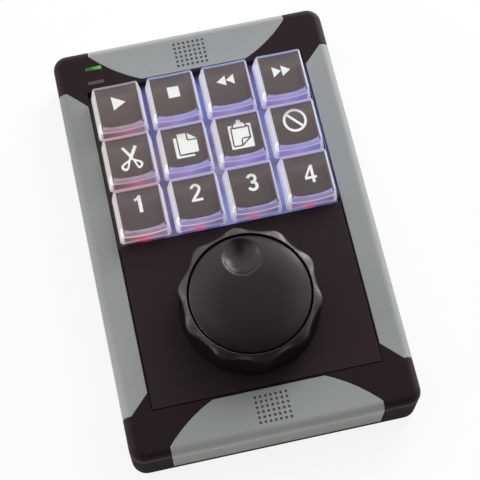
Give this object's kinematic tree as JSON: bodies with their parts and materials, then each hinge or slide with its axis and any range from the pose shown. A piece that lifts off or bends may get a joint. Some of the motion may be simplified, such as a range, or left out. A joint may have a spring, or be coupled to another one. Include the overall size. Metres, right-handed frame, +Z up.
{
  "type": "macro keypad",
  "caption": "Flat desk keypad with a block of backlit clear square keys behind a large jog wheel set inside a lobed shuttle ring, with grey trims on a black case.",
  "frame": {"origin": "on the desk, under the middle of the case", "axes": "+X to the user's right, +Y away from the user, from the dial towards the keys, +Z up"},
  "size_m": [0.0964, 0.148, 0.034],
  "materials": {
    "case_black": "fine moulded texture",
    "trim_grey": "fine satin texture",
    "panel_black": "fine moulded texture",
    "board_green": "solder mask",
    "chip_black": "moulded",
    "switch_black": "moulded",
    "led_blue": "clear lens",
    "led_red": "clear lens",
    "lens_green": "diffusing",
    "led_green": "clear lens",
    "inlet_steel": "plated",
    "sensor_grey": "moulded",
    "nut_brass": "plain",
    "spring_steel": "plain wire",
    "foot_rubber": "matt",
    "screw_steel": "zinc plated",
    "ring_grey": "satin",
    "wheel_black": "satin",
    "shaft_steel": "turned",
    "cap_clear": "clear, polished",
    "legend_grey": "printed film",
    "base_white": "translucent white"
  },
  "bodies": {
    "case": {"bottom_case": "case_black", "top_case": "case_black", "rear_trim": "trim_grey", "front_trim": "trim_grey", "left_trim": "trim_grey", "right_trim": "trim_grey", "dial_panel": "panel_black", "main_board": "board_green", "controller_chip": "chip_black", "switch_housings": "switch_black", "blue_leds": "led_blue", "red_leds": "led_red", "light_pipe": "lens_green", "indicator_leds": "led_green", "cable_inlet": "inlet_steel", "dial_sensor": "sensor_grey", "sensor_nut": "nut_brass", "shuttle_spring": "spring_steel", "rubber_feet": "foot_rubber", "case_screws": "screw_steel", "board_screws": "screw_steel"},
    "shuttle": {"shuttle_ring": "ring_grey"},
    "jog": {"jog_wheel": "wheel_black", "jog_shaft": "shaft_steel"},
    "play_key": {"play_cap": "cap_clear", "play_legend": "legend_grey", "play_key_base": "base_white"},
    "stop_key": {"stop_cap": "cap_clear", "stop_legend": "legend_grey", "stop_key_base": "base_white"},
    "rewind_key": {"rewind_cap": "cap_clear", "rewind_legend": "legend_grey", "rewind_key_base": "base_white"},
    "forward_key": {"forward_cap": "cap_clear", "forward_legend": "legend_grey", "forward_key_base": "base_white"},
    "cut_key": {"cut_cap": "cap_clear", "cut_legend": "legend_grey", "cut_key_base": "base_white"},
    "copy_key": {"copy_cap": "cap_clear", "copy_legend": "legend_grey", "copy_key_base": "base_white"},
    "paste_key": {"paste_cap": "cap_clear", "paste_legend": "legend_grey", "paste_key_base": "base_white"},
    "cancel_key": {"cancel_cap": "cap_clear", "cancel_legend": "legend_grey", "cancel_key_base": "base_white"},
    "one_key": {"one_cap": "cap_clear", "one_legend": "legend_grey", "one_key_base": "base_white"},
    "two_key": {"two_cap": "cap_clear", "two_legend": "legend_grey", "two_key_base": "base_white"},
    "three_key": {"three_cap": "cap_clear", "three_legend": "legend_grey", "three_key_base": "base_white"},
    "four_key": {"four_cap": "cap_clear", "four_legend": "legend_grey", "four_key_base": "base_white"}
  },
  "joints": [
    {"name": "shuttle_turn", "type": "hinge", "parent": "case", "child": "shuttle", "pos_m": [0, -0.0307, 0.0269], "axis": [0, 0, -1], "range_deg": [-75, 75], "stiffness_Nm_per_rad": 0.012},
    {"name": "jog_spin", "type": "hinge", "parent": "case", "child": "jog", "pos_m": [0, -0.0307, 0.03], "axis": [0, 0, -1], "continuous": true},
    {"name": "play_press", "type": "slide", "parent": "case", "child": "play_key", "axis": [0, 0, -1], "range_m": [0, 0.0035], "stiffness_N_per_m": 120, "springref_m": -0.003},
    {"name": "stop_press", "type": "slide", "parent": "case", "child": "stop_key", "axis": [0, 0, -1], "range_m": [0, 0.0035], "stiffness_N_per_m": 120, "springref_m": -0.003},
    {"name": "rewind_press", "type": "slide", "parent": "case", "child": "rewind_key", "axis": [0, 0, -1], "range_m": [0, 0.0035], "stiffness_N_per_m": 120, "springref_m": -0.003},
    {"name": "forward_press", "type": "slide", "parent": "case", "child": "forward_key", "axis": [0, 0, -1], "range_m": [0, 0.0035], "stiffness_N_per_m": 120, "springref_m": -0.003},
    {"name": "cut_press", "type": "slide", "parent": "case", "child": "cut_key", "axis": [0, 0, -1], "range_m": [0, 0.0035], "stiffness_N_per_m": 120, "springref_m": -0.003},
    {"name": "copy_press", "type": "slide", "parent": "case", "child": "copy_key", "axis": [0, 0, -1], "range_m": [0, 0.0035], "stiffness_N_per_m": 120, "springref_m": -0.003},
    {"name": "paste_press", "type": "slide", "parent": "case", "child": "paste_key", "axis": [0, 0, -1], "range_m": [0, 0.0035], "stiffness_N_per_m": 120, "springref_m": -0.003},
    {"name": "cancel_press", "type": "slide", "parent": "case", "child": "cancel_key", "axis": [0, 0, -1], "range_m": [0, 0.0035], "stiffness_N_per_m": 120, "springref_m": -0.003},
    {"name": "one_press", "type": "slide", "parent": "case", "child": "one_key", "axis": [0, 0, -1], "range_m": [0, 0.0035], "stiffness_N_per_m": 120, "springref_m": -0.003},
    {"name": "two_press", "type": "slide", "parent": "case", "child": "two_key", "axis": [0, 0, -1], "range_m": [0, 0.0035], "stiffness_N_per_m": 120, "springref_m": -0.003},
    {"name": "three_press", "type": "slide", "parent": "case", "child": "three_key", "axis": [0, 0, -1], "range_m": [0, 0.0035], "stiffness_N_per_m": 120, "springref_m": -0.003},
    {"name": "four_press", "type": "slide", "parent": "case", "child": "four_key", "axis": [0, 0, -1], "range_m": [0, 0.0035], "stiffness_N_per_m": 120, "springref_m": -0.003}
  ]
}
